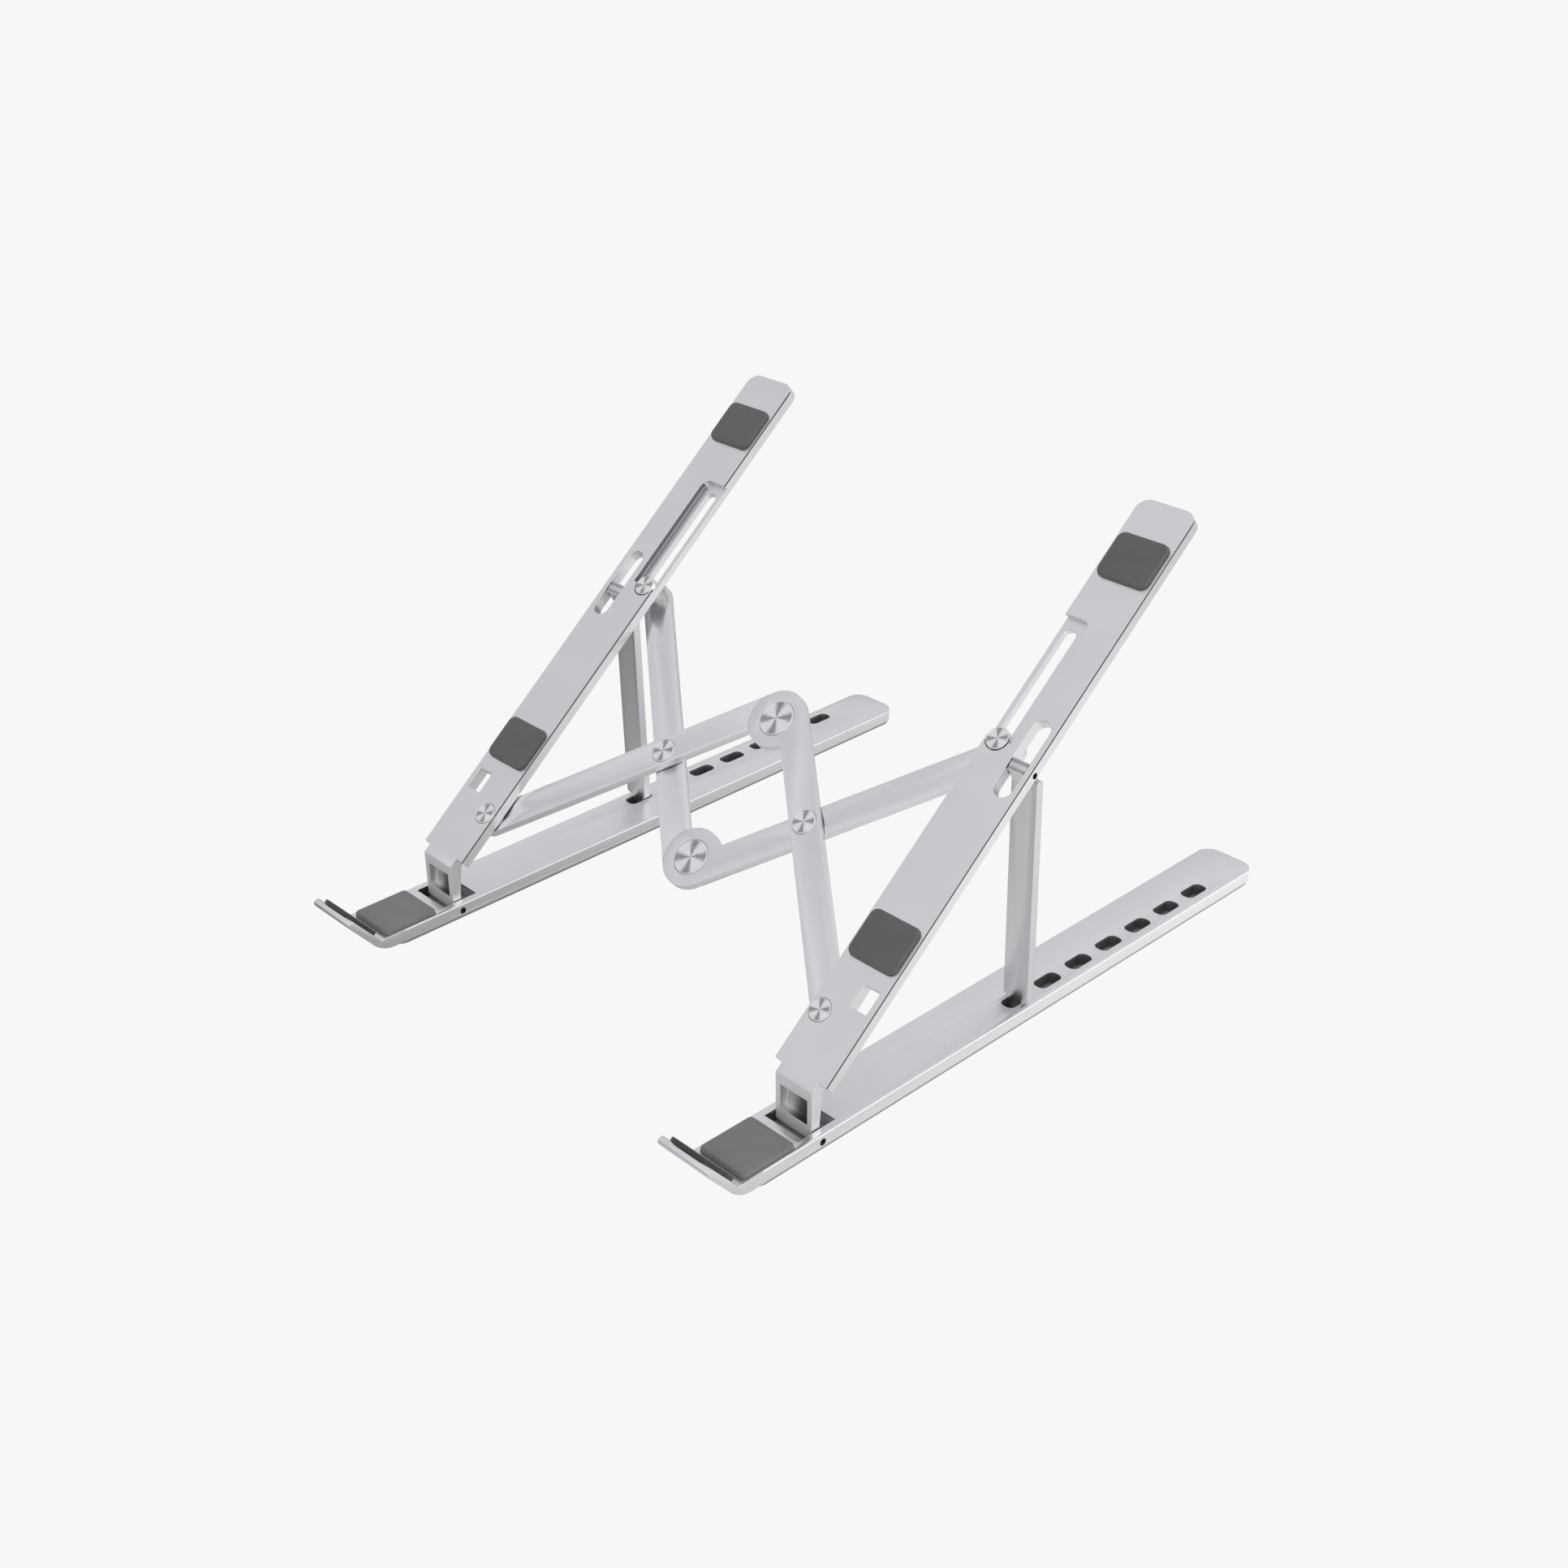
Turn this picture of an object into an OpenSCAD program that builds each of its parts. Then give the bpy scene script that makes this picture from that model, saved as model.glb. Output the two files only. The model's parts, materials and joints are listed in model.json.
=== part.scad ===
// Folding laptop stand: two slotted base rails, two hinged arms, two props
// and a four-link scissor that lets the whole stand close to one slim bar.
// Millimetres. X runs across the stand, Y from the hooks to the rear, Z up.
// The origin is on the desk, in the middle of the footprint.

/* [Setting] */
// Slope of the arms above the rails, degrees
arm_angle = 40; // [38:0.5:42]
// Angle of each scissor link from the arm direction when fully open
open_angle = 44.5; // [38:0.5:50]

/* [Rails] */
// Width of a rail
rail_w = 20; // [18:0.5:24]
// Thickness of the rail bar
rail_t = 4.2; // [3.6:0.1:5.5]
// Length of the rail behind its hinge pin
rail_back = 205.2; // [180:0.1:250]
// Radius of the rear corners
rail_corner_r = 5.5; // [2:0.5:9]
// Height of the hinge pin below the rail top
pin_depth = 2.5; // [2.4:0.1:2.8]
// Bevel along the top edges
rail_bevel = 0.3; // [0.2:0.1:1]

/* [Prop slots] */
// Number of height settings
slot_count = 7; // [3:1:8]
// Distance between neighbouring slots
slot_pitch = 15; // [12:0.5:16]
// Distance from the hinge pin to the first slot
slot_first = 87.6; // [86:0.2:90]
// Length of a slot along the rail
slot_len = 9.8; // [9:0.1:11]
// Width of a slot
slot_w = 4.9; // [4:0.1:6]
// Distance of the slot row from the rail centre
slot_side = 4.5; // [3:0.1:5.5]

/* [Hook] */
// Lean of the hook lip above the horizontal, degrees
lip_lean = 50; // [45:1:65]
// Thickness of the hook lip
lip_t = 2.5; // [2:0.1:3.6]
// Straight length of the hook lip
lip_len = 12.2; // [10:0.2:18]
// Radius of the bend under the hook
bend_r = 10; // [6:0.5:12]
// Distance of the bend in front of the hinge pin
bend_front = 26.5; // [26:0.1:30]
// Radius of the two upper corners of the lip
lip_corner_r = 6; // [2:0.5:8]

/* [Arms] */
// Width of an arm
arm_w = 20; // [18:0.5:24]
// Thickness of the arm bar
arm_t = 4; // [3.8:0.1:5]
// Distance of the arm top from the hinge pin, square to the arm
arm_rise = 13.1; // [13:0.1:16]
// Distance of the full-width front end from the hinge pin
arm_front = 12.2; // [11:0.1:14]
// Distance of the far end from the hinge pin
arm_end = 206.7; // [195:0.1:250]
// Radius of the far corners
arm_corner_r = 4; // [2:0.5:7]

/* [Scissor links] */
// Width of a link bar
link_w = 9.8; // [8:0.1:10.5]
// Thickness of a link bar
link_t = 2.7; // [2.2:0.1:2.8]
// Link length from its arm end to the middle rivet
link_near = 64.6; // [50:0.1:70]
// Link length from the middle rivet to the elbow
link_far = 40; // [30:0.1:45]
// Gap between the arm and the upper pair of links
layer_gap_top = 0.5; // [0.4:0.05:0.8]
// Gap between the upper and the lower pair of links
layer_gap = 0.3; // [0.2:0.05:0.5]
// Distance from the hinge pin to the front scissor pivot
pivot_from_pin = 29.7; // [26:0.1:34]
// Distance of the scissor pivots from the arm centre
pivot_side = 6; // [5.5:0.1:6.2]

/* [Rivets] */
// Diameter of the rivet shanks
rivet_d = 4; // [3:0.1:5]
// Head diameter of the rivets in the arms
arm_head_d = 7.2; // [6.2:0.1:7.4]
// Head diameter of the middle rivets
middle_head_d = 8; // [6.5:0.1:8.4]
// Head diameter of the elbow rivets
elbow_head_d = 11.8; // [9:0.1:13]
// Diameter of the closed rivet tails
tail_d = 6; // [5:0.1:7]

/* [Props] */
// Width of a prop
prop_w = 9.4; // [8:0.1:9.6]
// Thickness of a prop
prop_t = 2.9; // [2.2:0.1:3.2]
// Distance from the hinge pin to the prop pin, along the arm
prop_from_pin = 116.8; // [114:0.1:118]
// Depth of the prop pin under the arm top
prop_pin_depth = 2.7; // [2.5:0.05:2.8]
// Distance of the prop centre from the arm centre
prop_side = 5; // [4.4:0.1:5.1]
// How far the prop foot reaches into a slot
foot_depth = 2.2; // [1.5:0.1:2.6]
// How far the foot sits behind the middle of its slot
foot_back = 0.6; // [0.4:0.1:1]
// Width of the prop foot
foot_w = 4.3; // [3.6:0.1:4.5]

/* [Pins] */
// Diameter of the hinge pins
hinge_pin_d = 2; // [1.4:0.1:2.1]
// Diameter of the prop pins
prop_pin_d = 1.8; // [1.2:0.1:1.9]

/* [Rubber] */
// Width of a pad
pad_w = 17.8; // [15:0.1:18.4]
// Length of the two pads on an arm
arm_pad_len = 15.3; // [12:0.1:18]
// Height of the pads above the metal
pad_proud = 1.5; // [0.8:0.1:2.5]
// Length of the pad on the front ledge
ledge_pad_len = 19.6; // [16:0.1:20]
// Thickness of the anti-slip strip
strip_t = 1.2; // [1.1:0.1:2]
// Thickness of the hook liner
liner_t = 1.3; // [0.8:0.1:1.6]

/* [Hidden] */
$fn = 64;

running = 0.05;         // radial clearance of a turning pin or rivet
slide = 0.2;            // side clearance of a sliding rivet
seat = 0.1;             // clearance around a seated pad or rivet head
lap_gap = 0.1;          // clearance around a halved elbow
steel = "silver";
alloy = "lightgray";
rubber = "dimgray";

// Scissor geometry, in the plane of the arms
elbow_offset = link_w / 2 + 0.1;
link_reach = link_near + link_far;
pivot_x = link_reach * sin(open_angle) + elbow_offset * cos(open_angle);
half_span = pivot_x + pivot_side;
slider_open = pivot_from_pin + 2 * link_near * cos(open_angle);
slider_closed = pivot_from_pin + 2 * link_near;
middle_y = (pivot_from_pin + slider_open) / 2;
middle_x = link_far * sin(open_angle) + elbow_offset * cos(open_angle);
elbow_reach = link_far * cos(open_angle) - elbow_offset * sin(open_angle);
elbow_r = elbow_offset + link_w / 2;

// Heights of the layers above the hinge pin, square to the arms
arm_low = arm_rise - arm_t;
upper_top = arm_low - layer_gap_top;
upper_low = upper_top - link_t;
lower_top = upper_low - layer_gap;
lower_low = lower_top - link_t;

// Levels of the rails above the desk
rail_low = strip_t;
rail_top = rail_low + rail_t;
pin_z = rail_top - pin_depth;

// Hook outline, measured from the hinge pin
bend_end_y = -bend_front - bend_r * sin(lip_lean);
bend_end_z = rail_low + bend_r * (1 - cos(lip_lean));
lip_tip_y = bend_end_y - lip_len * cos(lip_lean);
front_reach = -lip_tip_y + lip_t / 2 * (1 - sin(lip_lean));
hinge_y = (front_reach - rail_back) / 2;

slot_corner_r = 2;

// Opening in the rail for the nose of the arm
nose_w = 14.2;
nose_gap = 0.3;
nose_front = 5.6;
nose_back = 7.3;
nose_lean = 50;
knuckle_r = 1.6;
cheek_t = 1.8;
pin_recess = 1.2;

// Pads, measured along the arm from the hinge pin
lower_pad_y = pivot_from_pin + 17.5;
upper_pad_y = arm_end - 12.6 - arm_pad_len;
ledge_pad_rear = -nose_front - 3.7;
pad_sink = 0.4;
pad_r = 2.4;
ledge_pad_r = 1.4;

// Cut-outs of the arm
groove_top = 0.12;
groove_h = 0.6;
groove_depth = 0.4;
recess_depth = 2;
recess_r = 5.4;
arm_head_t = 1.2;
knuckle_window_w = 6.4;
knuckle_window_front = prop_from_pin - 10.5;
knuckle_window_back = prop_from_pin + 15.2;
toe_window_len = 7.4;

// Prop, measured from its pin along the prop
prop_pin_h = arm_rise - prop_pin_depth;
prop_knuckle_r = 2.1;
prop_knuckle_w = knuckle_window_w - 0.4;
knuckle_flat = 3.8;
knuckle_top = 2.5;
prop_offset = prop_pin_h - arm_low + 0.2;
prop_mid = prop_offset + prop_t / 2;
prop_pin_y = prop_from_pin * cos(arm_angle) - prop_pin_h * sin(arm_angle);
prop_pin_z = pin_z + prop_from_pin * sin(arm_angle) + prop_pin_h * cos(arm_angle);
prop_drop = prop_pin_z - rail_top;
prop_tilt = asin((slot_first + foot_back - prop_pin_y - prop_mid) / prop_drop);
prop_len = prop_drop / cos(prop_tilt) + foot_depth + prop_mid * sin(prop_tilt);
shoulder_len = prop_len - foot_depth - 1.6;
toe_window_front = prop_from_pin - prop_len + 0.7;
toe_window_back = toe_window_front + toe_window_len;

// Rivet heads and tails
tail_t = 0.7;
middle_head_t = 0.8;
elbow_head_t = 0.6;
rear_proud = 0.35;
front_proud = 0.15;
arm_proud = 0.2;

// Places a piece of the right half, or its mirror image for the left half
module half(side) {
    mirror([side > 0 ? 0 : 1, 0, 0]) children();
}

// Frame of a rail: origin under the hinge pin, on the desk
module rail_frame(side) {
    half(side) translate([half_span, hinge_y, 0]) children();
}

// Frame of an arm: origin on the hinge pin, Y along the arm, Z square to it
module arm_frame(side) {
    half(side) translate([half_span, hinge_y, pin_z]) rotate([arm_angle, 0, 0]) children();
}

// Frame of the scissor: as the arm frame, but in the middle of the stand
module scissor_frame() {
    translate([0, hinge_y, pin_z]) rotate([arm_angle, 0, 0]) children();
}

// Frame of a prop: origin on its pin, Z up along the prop
module prop_frame(side) {
    half(side) translate([half_span, hinge_y + prop_pin_y, prop_pin_z])
        rotate([prop_tilt, 0, 0]) children();
}

module rounded_rect(w, l, r) {
    for (x = [-1, 1], y = [-1, 1]) translate([x * (w / 2 - r), y * (l / 2 - r)]) circle(r);
    square([w, l - 2 * r], center = true);
    square([w - 2 * r, l], center = true);
}

// Oblong along Y, its length measured over the round ends
module oblong(w, l) {
    for (y = [-1, 1]) translate([0, y * (l - w) / 2]) circle(d = w);
    square([w, l - w], center = true);
}

module pad(w, l, h, r) {
    edge = 0.35;
    linear_extrude(h - edge) rounded_rect(w, l, r);
    linear_extrude(h) rounded_rect(w - 2 * edge, l - 2 * edge, r - edge);
}

// Side outline of the hook and of the bar behind it, from the hinge pin
module hook_outline() {
    across = [sin(lip_lean), cos(lip_lean)];
    along = [-cos(lip_lean), sin(lip_lean)];
    arc_steps = 10;
    root = [bend_end_y, bend_end_z];
    tip = root + lip_len * along;
    under = [for (i = [0 : arc_steps])
        let (a = 270 - lip_lean * i / arc_steps)
            [-bend_front + bend_r * cos(a), rail_low + bend_r + bend_r * sin(a)]];
    inner = root + lip_t * across;
    corner_y = inner[0] + (inner[1] - rail_top) / tan(lip_lean);
    polygon(concat(
        [[-bend_front + 4, rail_low]],
        under,
        [tip, tip + lip_t * across],
        [[corner_y, rail_top], [-bend_front + 4, rail_top]]
    ));
    translate(tip + lip_t / 2 * across) circle(d = lip_t);
}

// Removes the two square upper corners of the lip
module lip_corners() {
    translate([0, bend_end_y, bend_end_z]) rotate([180 - lip_lean, 0, 0])
        for (x = [-1, 1]) mirror([x > 0 ? 0 : 1, 0, 0])
            translate([rail_w / 2 - lip_corner_r, lip_len + lip_t / 2 - lip_corner_r, -4])
                linear_extrude(8) difference() {
                    square(lip_corner_r + 1);
                    circle(lip_corner_r);
                }
}

module hook() {
    difference() {
        rotate([90, 0, 90]) translate([0, 0, -rail_w / 2]) linear_extrude(rail_w) hook_outline();
        lip_corners();
    }
}

// Plan of the rail from the bend to the rear corners
module rail_plan() {
    front = -bend_front;
    translate([-rail_w / 2, front]) square([rail_w, rail_back - rail_corner_r - front]);
    translate([-rail_w / 2 + rail_corner_r, front])
        square([rail_w - 2 * rail_corner_r, rail_back - front]);
    for (x = [-1, 1]) translate([x * (rail_w / 2 - rail_corner_r), rail_back - rail_corner_r])
        circle(rail_corner_r);
}

// Cross-section of the rail with its bevelled top edges
module rail_section() {
    polygon([
        [-rail_w / 2, rail_low], [rail_w / 2, rail_low],
        [rail_w / 2, rail_top - rail_bevel], [rail_w / 2 - rail_bevel, rail_top],
        [-rail_w / 2 + rail_bevel, rail_top], [-rail_w / 2, rail_top - rail_bevel]
    ]);
}

module base_rail() {
    color(alloy) difference() {
        union() {
            intersection() {
                linear_extrude(rail_top) rail_plan();
                translate([0, rail_back, 0]) rotate([90, 0, 0])
                    linear_extrude(rail_back + bend_front) rail_section();
            }
            hook();
        }
        for (i = [0 : slot_count - 1]) translate([slot_side, slot_first + i * slot_pitch, 0])
            linear_extrude(rail_top + 1) rounded_rect(slot_w, slot_len, slot_corner_r);
        translate([-nose_w / 2 - nose_gap, -nose_front, 0])
            cube([nose_w + 2 * nose_gap, nose_front + nose_back, rail_top + 1]);
        translate([-rail_w / 2 - 1, 0, pin_z]) rotate([0, 90, 0])
            cylinder(d = hinge_pin_d, h = rail_w + 2);
        translate([0, ledge_pad_rear - ledge_pad_len / 2, rail_top - pad_sink])
            linear_extrude(2)
                rounded_rect(pad_w + 2 * seat, ledge_pad_len + 2 * seat, ledge_pad_r + seat);
    }
}

module antislip_strip() {
    strip_w = rail_w - 1;
    strip_front = -bend_front + 0.5;
    strip_back = rail_back - 0.5;
    color(rubber) translate([0, (strip_front + strip_back) / 2, 0])
        linear_extrude(strip_t) rounded_rect(strip_w, strip_back - strip_front, rail_corner_r - 0.5);
}

module ledge_pad() {
    color(rubber) translate([0, ledge_pad_rear - ledge_pad_len / 2, rail_top - pad_sink])
        pad(pad_w, ledge_pad_len, pad_sink + pad_proud, ledge_pad_r);
}

module hook_liner() {
    liner_w = rail_w - 1;
    liner_low = 2;
    liner_top = lip_len + 1;
    liner_len = liner_top - liner_low;
    color(rubber) translate([0, bend_end_y, bend_end_z]) rotate([180 - lip_lean, 0, 0])
        translate([0, liner_low + liner_len / 2, -lip_t - liner_t]) linear_extrude(liner_t) {
            translate([0, -lip_corner_r / 2])
                square([liner_w, liner_len - lip_corner_r], center = true);
            rounded_rect(liner_w, liner_len, lip_corner_r - 0.5);
        }
}

module hinge_pin() {
    color(steel) translate([-rail_w / 2 + pin_recess, 0, pin_z]) rotate([0, 90, 0])
        cylinder(d = hinge_pin_d, h = rail_w - 2 * pin_recess);
}

// Plan of the arm bar, full width
module arm_plan() {
    translate([-arm_w / 2, arm_front]) square([arm_w, arm_end - arm_corner_r - arm_front]);
    translate([-arm_w / 2 + arm_corner_r, arm_front])
        square([arm_w - 2 * arm_corner_r, arm_end - arm_front]);
    for (x = [-1, 1]) translate([x * (arm_w / 2 - arm_corner_r), arm_end - arm_corner_r])
        circle(arm_corner_r);
}

// Cross-section of the arm bar with a fine groove along each side
module arm_section() {
    difference() {
        translate([-arm_w / 2, arm_low]) square([arm_w, arm_t]);
        for (x = [-1, 1]) translate([x * arm_w / 2, arm_rise - groove_top - groove_h / 2])
            square([2 * groove_depth, groove_h], center = true);
    }
}

// Side outline of the nose that carries the arm on its hinge pin
module nose_outline() {
    along = [cos(nose_lean), sin(nose_lean)];
    across = [-sin(nose_lean), cos(nose_lean)];
    nose_len = (arm_rise - knuckle_r * across[1]) / along[1];
    circle(knuckle_r);
    polygon([
        knuckle_r * across,
        knuckle_r * across + nose_len * along,
        [arm_front + 1, arm_rise],
        [arm_front + 1, arm_low],
        [arm_front - 1, arm_low],
        -knuckle_r * across + 4 * along,
        -knuckle_r * across
    ]);
}

// Hollow in the front of the nose, between its two cheeks
module nose_hollow() {
    rotate([nose_lean, 0, 0]) rotate([90, 0, 90]) translate([0, 0, -nose_w / 2 + cheek_t])
        linear_extrude(nose_w - 2 * cheek_t) polygon([[4, 3], [12.2, 3], [12.2, -1.8], [4, -0.8]]);
}

module nose() {
    difference() {
        rotate([90, 0, 90]) translate([0, 0, -nose_w / 2]) linear_extrude(nose_w) nose_outline();
        nose_hollow();
        rotate([0, 90, 0]) cylinder(d = hinge_pin_d + 2 * running, h = rail_w, center = true);
    }
}

// Plan of the slider recess: it hugs the open rivet and has one round far corner
module recess_plan(travel) {
    near_r = arm_head_d / 2 + 2 * slide;
    far_r = 3;
    translate([0, -travel / 2]) circle(near_r);
    translate([-2 * recess_r, -travel / 2])
        square([3 * recess_r - far_r, travel + recess_r]);
    translate([-2 * recess_r, -travel / 2]) square([3 * recess_r, travel + recess_r - far_r]);
    translate([recess_r - far_r, travel / 2 + recess_r - far_r]) circle(far_r);
}

module arm() {
    recess_y = (slider_open + slider_closed) / 2;
    travel = slider_closed - slider_open;
    color(alloy) difference() {
        union() {
            intersection() {
                linear_extrude(arm_rise) arm_plan();
                translate([0, arm_end, 0]) rotate([90, 0, 0])
                    linear_extrude(arm_end - arm_front) arm_section();
            }
            nose();
        }
        // recess and slot of the slider rivet, open to the inner side
        translate([-pivot_side, recess_y, arm_rise - recess_depth]) linear_extrude(arm_t)
            recess_plan(travel);
        translate([-pivot_side, recess_y, 0])
            linear_extrude(arm_rise) oblong(rivet_d + 2 * slide, travel + rivet_d + 2 * slide);
        // seat of the front pivot rivet
        translate([-pivot_side, pivot_from_pin, 0]) cylinder(d = rivet_d, h = arm_rise);
        translate([-pivot_side, pivot_from_pin, arm_rise - arm_head_t])
            cylinder(d = arm_head_d + 2 * seat, h = arm_t);
        // window of the prop knuckle and window over the folded prop foot
        translate([prop_side, (knuckle_window_front + knuckle_window_back) / 2, 0])
            linear_extrude(arm_rise + 1)
                oblong(knuckle_window_w, knuckle_window_back - knuckle_window_front);
        translate([prop_side, (toe_window_front + toe_window_back) / 2, arm_rise])
            cube([foot_w + 1.7, toe_window_back - toe_window_front, 2 * arm_rise], center = true);
        // prop pin hole, blind on the inner side
        translate([0, prop_from_pin, prop_pin_h]) rotate([0, 90, 0])
            cylinder(d = prop_pin_d, h = arm_w);
        // pad seats
        for (y = [lower_pad_y, upper_pad_y])
            translate([0, y + arm_pad_len / 2, arm_rise - pad_sink]) linear_extrude(2)
                rounded_rect(pad_w + 2 * seat, arm_pad_len + 2 * seat, pad_r + seat);
    }
}

module arm_pad(y) {
    color(rubber) translate([0, y + arm_pad_len / 2, arm_rise - pad_sink])
        pad(pad_w, arm_pad_len, pad_sink + pad_proud, pad_r);
}

module prop_pin() {
    color(steel) translate([0, prop_from_pin, prop_pin_h]) rotate([0, 90, 0])
        cylinder(d = prop_pin_d, h = arm_w / 2 - 1);
}

// Side outline of the prop: Y to the rear, Z up, origin on the pin
module prop_outline() {
    translate([prop_offset, -shoulder_len]) square([prop_t, shoulder_len - 3 - prop_t / 2]);
    translate([prop_mid, -3 - prop_t / 2]) circle(d = prop_t);
}

// Flat top of the knuckle, level with the arm, with two pairs of fine cross grooves
module knuckle_block() {
    groove = 0.25;
    rotate(arm_angle - prop_tilt) difference() {
        translate([-knuckle_flat / 2, 0]) square([knuckle_flat, knuckle_top]);
        for (y = [-1.6, -1, 1, 1.6])
            translate([y - groove / 2, knuckle_top - groove]) square([groove, 1]);
    }
}

// Side outline of the knuckle and of the neck under it
module neck_outline() {
    knuckle_block();
    circle(prop_knuckle_r);
    polygon([
        [-prop_knuckle_r, 0], [prop_knuckle_r, 0],
        [prop_offset + prop_t, -3 - prop_t / 2], [prop_offset + prop_t, -7],
        [prop_offset, -7], [-prop_knuckle_r * 0.8, -1.3]
    ]);
}

module prop() {
    color(alloy) translate([prop_side, 0, 0]) difference() {
        union() {
            rotate([90, 0, 90]) translate([0, 0, -prop_w / 2]) linear_extrude(prop_w) prop_outline();
            rotate([90, 0, 90]) translate([0, 0, -prop_knuckle_w / 2])
                linear_extrude(prop_knuckle_w) neck_outline();
            prop_foot();
        }
        rotate([0, 90, 0]) cylinder(d = prop_pin_d + 2 * running, h = arm_w, center = true);
    }
}

// Tapered shoulder and round-ended foot
module prop_foot() {
    foot_x = slot_side - prop_side;
    taper = 1.2;
    translate([0, prop_offset, 0]) rotate([90, 0, 0]) mirror([0, 0, 1]) linear_extrude(prop_t) {
        polygon([
            [-prop_w / 2, -shoulder_len + 1], [prop_w / 2, -shoulder_len + 1],
            [prop_w / 2, -shoulder_len], [foot_x + foot_w / 2, -shoulder_len - taper],
            [foot_x - foot_w / 2, -shoulder_len - taper], [-prop_w / 2, -shoulder_len]
        ]);
        translate([foot_x - foot_w / 2, -prop_len + 1])
            square([foot_w, prop_len - shoulder_len]);
        translate([foot_x - foot_w / 2 + 1, -prop_len]) square([foot_w - 2, 2]);
        for (x = [-1, 1]) translate([foot_x + x * (foot_w / 2 - 1), -prop_len + 1]) circle(1);
    }
}

// Plan of a link: origin on its arm end, Y along the bar, elbow to the right
module link_plan() {
    circle(d = link_w);
    translate([-link_w / 2, 0]) square([link_w, link_reach]);
}

// A link whose elbow is halved; upper keeps the top half of its elbow disc
module link(upper, head_h) {
    half_t = (link_t - 0.1) / 2;
    cut_low = upper ? -1 : half_t;
    disc_low = upper ? link_t - half_t : 0;
    difference() {
        linear_extrude(link_t) link_plan();
        translate([elbow_offset, link_reach, cut_low])
            cylinder(r = elbow_r + lap_gap, h = link_t - half_t + 1);
        link_holes(head_h);
        elbow_holes(upper);
    }
    difference() {
        translate([elbow_offset, link_reach, disc_low]) cylinder(r = elbow_r, h = half_t);
        elbow_holes(upper);
        translate([0, link_near, -1]) cylinder(d = rivet_d + 2 * running, h = link_t + 2);
    }
}

// Arm-end hole, middle hole and their tail seats; head_h is the middle head seat
module link_holes(head_h) {
    for (y = [0, link_near]) translate([0, y, -1])
        cylinder(d = rivet_d + 2 * running, h = link_t + 2);
    translate([0, 0, -1]) cylinder(d = tail_d + 2 * seat, h = 1 + tail_t);
    if (head_h > 0) translate([0, link_near, link_t - head_h])
        cylinder(d = middle_head_d + 2 * seat, h = link_t);
    else translate([0, link_near, -1]) cylinder(d = tail_d + 2 * seat, h = 1 + tail_t);
}

module elbow_holes(upper) {
    translate([elbow_offset, link_reach, -1]) {
        cylinder(d = rivet_d + 2 * running, h = link_t + 2);
        if (upper) translate([0, 0, 1 + link_t - elbow_head_t])
            cylinder(d = elbow_head_d + 2 * seat, h = link_t);
        else cylinder(d = tail_d + 2 * seat, h = 1 + tail_t);
    }
}

module link_upper(upper) {
    color(alloy) translate([-pivot_x, pivot_from_pin, upper_low]) rotate([0, 0, -open_angle])
        link(upper, middle_head_t);
}

module link_lower(upper) {
    color(alloy) translate([-pivot_x, slider_open, lower_low]) mirror([0, 1, 0])
        rotate([0, 0, -open_angle]) link(upper, 0);
}

// Round rivet: tail from low, shank, and a slightly crowned head from seat_z to top_z
module rivet(low, seat_z, top_z, d) {
    crown = 0.15;
    rotate_extrude() polygon([
        [0, low], [tail_d / 2, low], [tail_d / 2, low + tail_t], [rivet_d / 2, low + tail_t],
        [rivet_d / 2, seat_z], [d / 2, seat_z], [d / 2, top_z - crown],
        [d / 2 - crown, top_z], [0, top_z]
    ]);
}

module ring(low, top, d) {
    difference() {
        translate([0, 0, low]) cylinder(d = d, h = top - low);
        translate([0, 0, low - 1]) cylinder(d = rivet_d + 2 * running, h = top - low + 2);
    }
}

module pivot_rivet() {
    color(steel) translate([-pivot_side, pivot_from_pin, 0])
        rivet(upper_low, arm_rise - arm_head_t, arm_rise + arm_proud, arm_head_d);
}

module pivot_washer() {
    color(steel) translate([-pivot_side, pivot_from_pin, 0])
        ring(upper_top + running, arm_low, arm_head_d);
}

module slider_rivet() {
    color(steel) translate([-pivot_side, slider_open, 0])
        rivet(lower_low, arm_rise - recess_depth + running, arm_rise + arm_proud, arm_head_d);
}

module slider_spacer() {
    color(steel) translate([-pivot_side, slider_open, 0])
        ring(lower_top, arm_low - running, arm_head_d);
}

module middle_rivet() {
    color(steel) translate([middle_x, middle_y, 0])
        rivet(lower_low, upper_top - middle_head_t, upper_top + rear_proud, middle_head_d);
}

module middle_washer() {
    color(steel) translate([middle_x, middle_y, 0])
        ring(lower_top + running, upper_low, middle_head_d);
}

module elbow_rivet_rear() {
    color(steel) scissor_frame() translate([0, middle_y + elbow_reach, 0])
        rivet(upper_low, upper_top - elbow_head_t, upper_top + rear_proud, elbow_head_d);
}

module elbow_rivet_front() {
    color(steel) scissor_frame() translate([0, middle_y - elbow_reach, 0])
        rivet(lower_low, lower_top - elbow_head_t, lower_top + front_proud, elbow_head_d);
}

rail_frame(1) base_rail();  // base_rail_right
rail_frame(-1) base_rail();  // base_rail_left
rail_frame(1) antislip_strip();  // antislip_strip_right
rail_frame(-1) antislip_strip();  // antislip_strip_left
rail_frame(1) ledge_pad();  // ledge_pad_right
rail_frame(-1) ledge_pad();  // ledge_pad_left
rail_frame(1) hook_liner();  // hook_liner_right
rail_frame(-1) hook_liner();  // hook_liner_left
rail_frame(1) hinge_pin();  // hinge_pin_right
rail_frame(-1) hinge_pin();  // hinge_pin_left
arm_frame(1) arm();  // arm_right
arm_frame(-1) arm();  // arm_left
arm_frame(1) arm_pad(upper_pad_y);  // upper_pad_right
arm_frame(-1) arm_pad(upper_pad_y);  // upper_pad_left
arm_frame(1) arm_pad(lower_pad_y);  // lower_pad_right
arm_frame(-1) arm_pad(lower_pad_y);  // lower_pad_left
prop_frame(1) prop();  // prop_right
prop_frame(-1) prop();  // prop_left
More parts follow.
